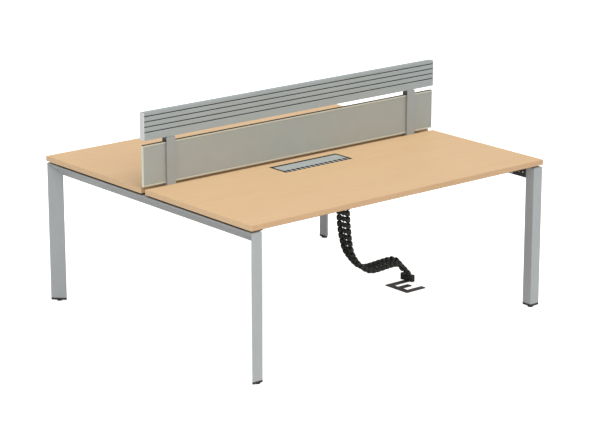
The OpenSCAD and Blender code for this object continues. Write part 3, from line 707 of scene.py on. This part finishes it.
beam_face_x = 0.8395
bracket_sheet = 0.004
bracket_rows = ((-0.702, 0.027), (0.0, 0.050), (0.702, 0.027))
bracket_hole_z = 0.675
beam_shank = (0.003, 0.007)
saddle_bolt_x = 0.8055
saddle_bottom = 0.682
saddle_shank = (0.003, 0.005)
screw_form = bmesh.new()
for sx in (-1, 1):
    for row_y, step in bracket_rows:
        for k in (-1, 0, 1):
            into_beam = (
                Matrix.Translation((sx * (beam_face_x - bracket_sheet), row_y + k * step, bracket_hole_z))
                @ Matrix.Rotation(sx * math.pi / 2, 4, "Y")
            )
            socket_screw(screw_form, into_beam, large_head, beam_shank)
        up_saddle = Matrix.Translation((sx * saddle_bolt_x, row_y, saddle_bottom))
        socket_screw(screw_form, up_saddle, small_head, saddle_shank)
screws = as_piece("bracket_socket_screws", screw_form, bright_steel, smooth=35)
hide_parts("bracket_screws")


# Rails under the tops. Three rectangular steel tubes run across the desk and carry both boards.
# They are coated black, and wood screws come up through them into the boards.
rail_bottom = 0.685
wood_screw_rows = (
    (0.702, (-0.700, -0.350, 0.0, 0.350, 0.700)),
    (0.028, (-0.600, -0.200, 0.200, 0.600)),
)
wood_screw_shank = (0.0025, 0.048)
for rail in ("near_rail", "centre_rail", "far_rail"):
    dress(rail, black_coat, 0.0008)
screw_form = bmesh.new()
for row_y, row_x in wood_screw_rows:
    for y in (-row_y, row_y):
        for x in row_x:
            up_rail = Matrix.Translation((x, y, rail_bottom))
            socket_screw(screw_form, up_rail, large_head, wood_screw_shank)
screws = as_piece("rail_socket_screws", screw_form, bright_steel, smooth=35)
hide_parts("rail_screws")


# Packing strips. Black plastic strips lie on the beams and hold the tops clear of the frames.
# Their black adds to the shade in the gap, which shows as a dark line between each top and its frame.
strip_plastic = finish_of("strip_plastic", skin, {
    "Colour": (0.014, 0.014, 0.014, 1),
    "Cloud Colour": (0.024, 0.023, 0.022, 1),
    "Grain Scale": 900.0,
    "Roughness Low": 0.6,
    "Roughness High": 0.75,
}, bump=0.3, depth=0.0001)
dress("left_spacers", strip_plastic, 0.0005)
dress("right_spacers", strip_plastic, 0.0005)


# Tops. Two 25 mm boards with a light beech finish, printed with fine straight figure along the desk.
# A band 2 mm thick is glued round their edges, a little browner than the face, with its arris eased.
# Past "End From", at the desk's two ends, the band is painted in the paler end colour, a painted highlight
# for the light on its end faces.
end_light_share = 0.75
wood, wood_in, wood_out = shader_group(
    "wood",
    [
        ("Light", "NodeSocketColor", (0.712, 0.482, 0.268, 1)),
        ("Dark", "NodeSocketColor", (0.668, 0.438, 0.233, 1)),
        ("Fleck", "NodeSocketColor", (0.55, 0.335, 0.165, 1)),
        ("Fleck Amount", "NodeSocketFloat", 0.35),
        ("Shift", "NodeSocketFloat", 0.0),
        ("End From", "NodeSocketFloat", 10.0),
        ("End Light Colour", "NodeSocketColor", (0.7, 0.48, 0.27, 1)),
    ],
    [("Color", "NodeSocketColor"), ("Roughness", "NodeSocketFloat"), ("Height", "NodeSocketFloat")],
)
wood_point = object_point(wood)
wood_x, wood_y, wood_z = axes_of(wood, wood_point)
wood_sway = sums(wood, "MULTIPLY", noise(wood, wood_point, 1.6, 2.0), 0.06)


def wood_lines(along_x, across_y, across_z):
    """Coordinates drawn out along the board, so that a noise in them runs as figure along X."""
    drawn_out_point = wood.nodes.new("ShaderNodeCombineXYZ")
    wood.links.new(sums(wood, "MULTIPLY", wood_x, along_x), drawn_out_point.inputs[0])
    bent_y = sums(wood, "ADD", wood_y, sums(wood, "ADD", wood_sway, wood_in.outputs["Shift"]))
    wood.links.new(sums(wood, "MULTIPLY", bent_y, across_y), drawn_out_point.inputs[1])
    wood.links.new(sums(wood, "MULTIPLY", wood_z, across_z), drawn_out_point.inputs[2])
    return drawn_out_point.outputs[0]


wood_cloud = spread(wood, noise(wood, wood_lines(2.2, 7.0, 7.0), 1.0, 4.0, 0.6), 0.32, 0.70)
wood_figure = spread(wood, noise(wood, wood_lines(5.0, 90.0, 90.0), 1.0, 5.0, 0.62), 0.34, 0.70)
wood_pores = spread(wood, noise(wood, wood_lines(60.0, 900.0, 900.0), 1.0, 2.0, 0.5), 0.60, 0.74)
wood_tone = sums(
    wood, "ADD", sums(wood, "MULTIPLY", wood_cloud, 0.5), sums(wood, "MULTIPLY", wood_figure, 0.5)
)
wood_face = mixed(wood, wood_tone, wood_in.outputs["Light"], wood_in.outputs["Dark"])
wood_mark = sums(wood, "MULTIPLY", wood_pores, wood_in.outputs["Fleck Amount"])
wood_marked = mixed(wood, wood_mark, wood_face, wood_in.outputs["Fleck"])
# The band's ends take the paler end colour, a painted highlight for the light on its end faces.
wood_end_painted_light = sums(wood, "MULTIPLY", beyond(wood, wood_x, wood_in.outputs["End From"]), end_light_share)
wood.links.new(mixed(wood, wood_end_painted_light, wood_marked, wood_in.outputs["End Light Colour"]), wood_out.inputs["Color"])
wood.links.new(spread(wood, wood_figure, 0.0, 1.0, 0.40, 0.50), wood_out.inputs["Roughness"])
wood.links.new(sums(wood, "SUBTRACT", wood_figure, wood_pores), wood_out.inputs["Height"])

near_board = finish_of("near_board", wood, {"Shift": 0.0}, bump=0.10, depth=0.0001)
far_board = finish_of("far_board", wood, {"Shift": 3.7}, bump=0.10, depth=0.0001)
board_band = finish_of("board_band", wood, {
    "Light": (0.635, 0.415, 0.235, 1),
    "Dark": (0.565, 0.355, 0.190, 1),
    "Fleck": (0.46, 0.28, 0.145, 1),
    "Fleck Amount": 0.40,
    "Shift": 1.3,
    "End From": 0.8992,
    "End Light Colour": (0.82, 0.565, 0.325, 1),
}, bump=0.12, depth=0.0001)
dress("near_top", near_board, 0)
dress("far_top", far_board, 0)
dress("near_edge_band", board_band, 0.0006)
dress("far_edge_band", board_band, 0.0006)


# Cable trays. A folded black steel tray hangs under each flap, screwed up into its board.
# The near one also carries the spine's head on two screws of its own.
tray_lip_bottom = 0.713
tray_hole_x = 0.200
tray_hole_rows = (0.0555, 0.2095)
tray_shank = (0.002, 0.017)
head_hole_y = 0.012
head_shank = (0.002, 0.006)
for side in ("near", "far"):
    dress(f"{side}_cable_tray", black_coat, 0.0005)
screw_form = bmesh.new()
for sy in (-1, 1):
    for x in (-tray_hole_x, tray_hole_x):
        for y in tray_hole_rows:
            up_lip = Matrix.Translation((x, sy * y, tray_lip_bottom))
            socket_screw(screw_form, up_lip, small_head, tray_shank)
for side_y in (-head_hole_y, head_hole_y):
    up_head = spine_place @ Matrix.Translation((0, side_y, tray_bottom - head_plate))
    socket_screw(screw_form, up_head, small_head, head_shank)
screws = as_piece("tray_socket_screws", screw_form, bright_steel, smooth=35)
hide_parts("tray_screws")


# Cable flaps. A moulded black surround sits flush in each top, and its lid swings up on two pins.
# The lid is brushed along its length, and a row of notches in its front edge lets the cables out.
# Its ends and the part by the hinge are painted near black, painted shade for the dark gap round it, its
# underside is near black too, and its toothed front is darkened with painted shade.

# Brushed or drawn metal: fine lines along the desk, with broad faint patches across them.
# A near-black colour, used as painted shade, fills what lies within, under, below or beyond four limits,
# and a share of it tints the front.
front_shade_share = 0.34
drawn, drawn_in, drawn_out = shader_group(
    "drawn_metal",
    [
        ("Colour", "NodeSocketColor", (0.6, 0.6, 0.6, 1)),
        ("Line Colour", "NodeSocketColor", (0.5, 0.5, 0.5, 1)),
        ("Across", "NodeSocketFloat", 1400.0),
        ("Dark Within", "NodeSocketFloat", 0.0),
        ("Dark Under", "NodeSocketFloat", 10.0),
        ("Dark Below", "NodeSocketFloat", -10.0),
        ("Dark Beyond", "NodeSocketFloat", 10.0),
        ("Shade From", "NodeSocketFloat", 10.0),
        ("Painted Shade Colour", "NodeSocketColor", (0.02, 0.02, 0.02, 1)),
        ("Roughness Low", "NodeSocketFloat", 0.32),
        ("Roughness High", "NodeSocketFloat", 0.46),
    ],
    [("Color", "NodeSocketColor"), ("Roughness", "NodeSocketFloat"), ("Height", "NodeSocketFloat")],
)
drawn_point = object_point(drawn)
drawn_x, drawn_y, drawn_z = axes_of(drawn, drawn_point)
drawn_lines = drawn.nodes.new("ShaderNodeCombineXYZ")
drawn.links.new(sums(drawn, "MULTIPLY", drawn_x, 9.0), drawn_lines.inputs[0])
drawn.links.new(sums(drawn, "MULTIPLY", drawn_y, drawn_in.outputs["Across"]), drawn_lines.inputs[1])
drawn.links.new(sums(drawn, "MULTIPLY", drawn_z, drawn_in.outputs["Across"]), drawn_lines.inputs[2])
drawn_scratch = noise(drawn, drawn_lines.outputs[0], 1.0, 4.0, 0.65)
drawn_patch = noise(drawn, drawn_point, 7.0, 3.0, 0.5)
drawn_shade = sums(
    drawn, "ADD",
    sums(drawn, "MULTIPLY", spread(drawn, drawn_scratch, 0.3, 0.7), 0.6),
    sums(drawn, "MULTIPLY", spread(drawn, drawn_patch, 0.3, 0.7), 0.4),
)
drawn_face = mixed(drawn, drawn_shade, drawn_in.outputs["Colour"], drawn_in.outputs["Line Colour"])
# Painted shade in the depth of the rail's grooves and along the lid's hinge side.
drawn_inner_painted_shade = sums(
    drawn, "MULTIPLY",
    sums(drawn, "LESS_THAN", sums(drawn, "ABSOLUTE", drawn_y, 0.0), drawn_in.outputs["Dark Within"]),
    sums(drawn, "LESS_THAN", drawn_z, drawn_in.outputs["Dark Under"]),
)
drawn_rim = sums(
    drawn, "MAXIMUM",
    sums(drawn, "LESS_THAN", drawn_z, drawn_in.outputs["Dark Below"]),
    beyond(drawn, drawn_x, drawn_in.outputs["Dark Beyond"]),
)
# A share of painted shade on the front, past "Shade From".
drawn_front_painted_shade = sums(drawn, "MULTIPLY", beyond(drawn, drawn_y, drawn_in.outputs["Shade From"]), front_shade_share)
drawn_painted_shade = sums(drawn, "MAXIMUM", sums(drawn, "MAXIMUM", drawn_inner_painted_shade, drawn_rim), drawn_front_painted_shade)
drawn.links.new(
    mixed(drawn, drawn_painted_shade, drawn_face, drawn_in.outputs["Painted Shade Colour"]), drawn_out.inputs["Color"]
)
drawn_rub = spread(
    drawn, drawn_scratch, 0.3, 0.7,
    drawn_in.outputs["Roughness Low"], drawn_in.outputs["Roughness High"],
)
drawn.links.new(drawn_rub, drawn_out.inputs["Roughness"])
drawn.links.new(drawn_scratch, drawn_out.inputs["Height"])

brushed_lid = finish_of("brushed_lid", drawn, {
    "Colour": (0.61, 0.66, 0.66, 1),
    "Line Colour": (0.51, 0.555, 0.55, 1),
    "Across": 900.0,
    # Painted shade: the hinge side, the ends and the toothed front of the lid are darkened.
    "Dark Within": 0.0850,
    "Dark Below": 0.7393,
    "Dark Beyond": 0.1955,
    "Shade From": 0.1630,
    "Painted Shade Colour": (0.018, 0.017, 0.016, 1),
    "Roughness Low": 0.38,
    "Roughness High": 0.55,
}, metallic=0.55, bump=0.15, depth=0.00006)
flap_plastic = finish_of("flap_plastic", skin, {
    "Colour": (0.016, 0.015, 0.014, 1),
    "Cloud Colour": (0.026, 0.025, 0.023, 1),
    "Grain Scale": 1500.0,
    "Roughness Low": 0.42,
    "Roughness High": 0.56,
}, bump=0.3, depth=0.0001)
for end in ("near", "far"):
    dress(f"{end}_flap_frame", flap_plastic, 0.0004)
    dress(f"{end}_flap_lid", brushed_lid, 0.0004)
    dress(f"{end}_hinge_pins", bright_steel, 0.0003)


# Screen uprights. A dark core stands between the tops on the centre rail, clasps the panel,
# and its neck reaches into the accessory rail. Flat silver plates with cut corners cover its two faces.
core_coat = finish_of("core_coat", skin, {
    "Colour": (0.320, 0.310, 0.278, 1),
    "Cloud Colour": (0.355, 0.344, 0.310, 1),
    "Grain Scale": 1000.0,
    "Roughness Low": 0.48,
    "Roughness High": 0.62,
}, bump=0.25, depth=0.0001)
cover_silver = finish_of("cover_silver", skin, {
    "Colour": (0.368, 0.400, 0.400, 1),
    "Cloud Colour": (0.340, 0.369, 0.369, 1),
    "Grain Scale": 1500.0,
    "Roughness Low": 0.38,
    "Roughness High": 0.48,
}, metallic=0.25, bump=0.12, depth=0.00008)
for end in ("left", "right"):
    dress(f"{end}_post", core_coat, 0.0006)
    dress(f"{end}_near_cover", cover_silver, 0.0006)
    dress(f"{end}_far_cover", cover_silver, 0.0006)
post_at = 0.748
post_hole_apart = 0.014
post_shank = (0.003, 0.055)
screw_form = bmesh.new()
for x in (-post_at, post_at):
    for dx in (-post_hole_apart, post_hole_apart):
        up_post = Matrix.Translation((x + dx, 0, rail_bottom))
        socket_screw(screw_form, up_post, large_head, post_shank)
screws = as_piece("post_socket_screws", screw_form, bright_steel, smooth=35)
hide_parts("post_screws")


# Screen panel. A warm grey coated board is clasped by the two uprights and edged with light channels.
# The top and bottom channels are anodised. The end ones are painted as the panel, with their ends painted
# cream as a painted highlight for the light on those end faces.
# A black gasket in three lengths lies along the top and leaves room for the uprights' necks.
panel_half = 0.900
panel_top = 0.945
gasket_height = 0.0016
gasket_half_depth = 0.0066
neck_room = 0.0125
panel_paint = finish_of("panel_paint", skin, {
    "Colour": (0.355, 0.376, 0.351, 1),
    "Cloud Colour": (0.332, 0.351, 0.326, 1),
    "Grain Scale": 700.0,
    "Roughness Low": 0.55,
    "Roughness High": 0.68,
}, bump=0.15, depth=0.00012)
trim_anodised = finish_of("trim_anodised", drawn, {
    "Colour": (0.64, 0.65, 0.54, 1),
    "Line Colour": (0.57, 0.58, 0.48, 1),
    "Across": 1200.0,
    "Roughness Low": 0.36,
    "Roughness High": 0.5,
}, metallic=0.25, bump=0.12, depth=0.00005)
trim_painted_light_ends = finish_of("trim_painted_light_ends", skin, {
    "Colour": (0.355, 0.376, 0.351, 1),
    "Cloud Colour": (0.332, 0.351, 0.326, 1),
    "End From": 0.8994,
    "End Light Colour": (0.78, 0.79, 0.65, 1),
    "Grain Scale": 1200.0,
    "Roughness Low": 0.40,
    "Roughness High": 0.52,
}, bump=0.12, depth=0.00008)
dress("screen_panel", panel_paint, 0)
dress("panel_top_trim", trim_anodised, 0.0005)
dress("panel_bottom_trim", trim_anodised, 0.0005)
dress("panel_end_trims", trim_painted_light_ends, 0.0005)

gasket_form = bmesh.new()
for low_x, high_x in (
    (-panel_half, -post_at - neck_room),
    (neck_room - post_at, post_at - neck_room),
    (post_at + neck_room, panel_half),
):
    rounded_slab(
        gasket_form, (low_x, -gasket_half_depth, panel_top),
        (high_x, gasket_half_depth, panel_top + gasket_height), Matrix.Identity(4), 0.0004,
    )
as_piece("panel_gaskets", gasket_form, strip_plastic)


# Accessory rail. One long aluminium extrusion, grooved along both faces so that trays can hook in.
# It is anodised grey with fine lines from the die, and the depth of its grooves is darkened with painted
# shade.
# A pale cap with a peg closes each end.
rail_anodised = finish_of("rail_anodised", drawn, {
    "Colour": (0.378, 0.425, 0.435, 1),
    "Line Colour": (0.338, 0.382, 0.392, 1),
    "Across": 1500.0,
    "Roughness Low": 0.40,
    "Roughness High": 0.54,
    # Painted shade in the groove bottoms, but not on the top face.
    "Dark Within": 0.0146,
    "Dark Under": 1.0995,
    "Painted Shade Colour": (0.085, 0.092, 0.092, 1),
}, metallic=0.15, bump=0.12, depth=0.00005)
rail_cap_paint = finish_of("rail_cap_paint", skin, {
    "Colour": (0.760, 0.780, 0.785, 1),
    "Cloud Colour": (0.710, 0.730, 0.735, 1),
    "Grain Scale": 1300.0,
    "Roughness Low": 0.40,
    "Roughness High": 0.52,
}, bump=0.12, depth=0.00008)
dress("accessory_rail", rail_anodised, 0)
dress("left_rail_cap", rail_cap_paint, 0.0008)
dress("right_rail_cap", rail_cap_paint, 0.0008)
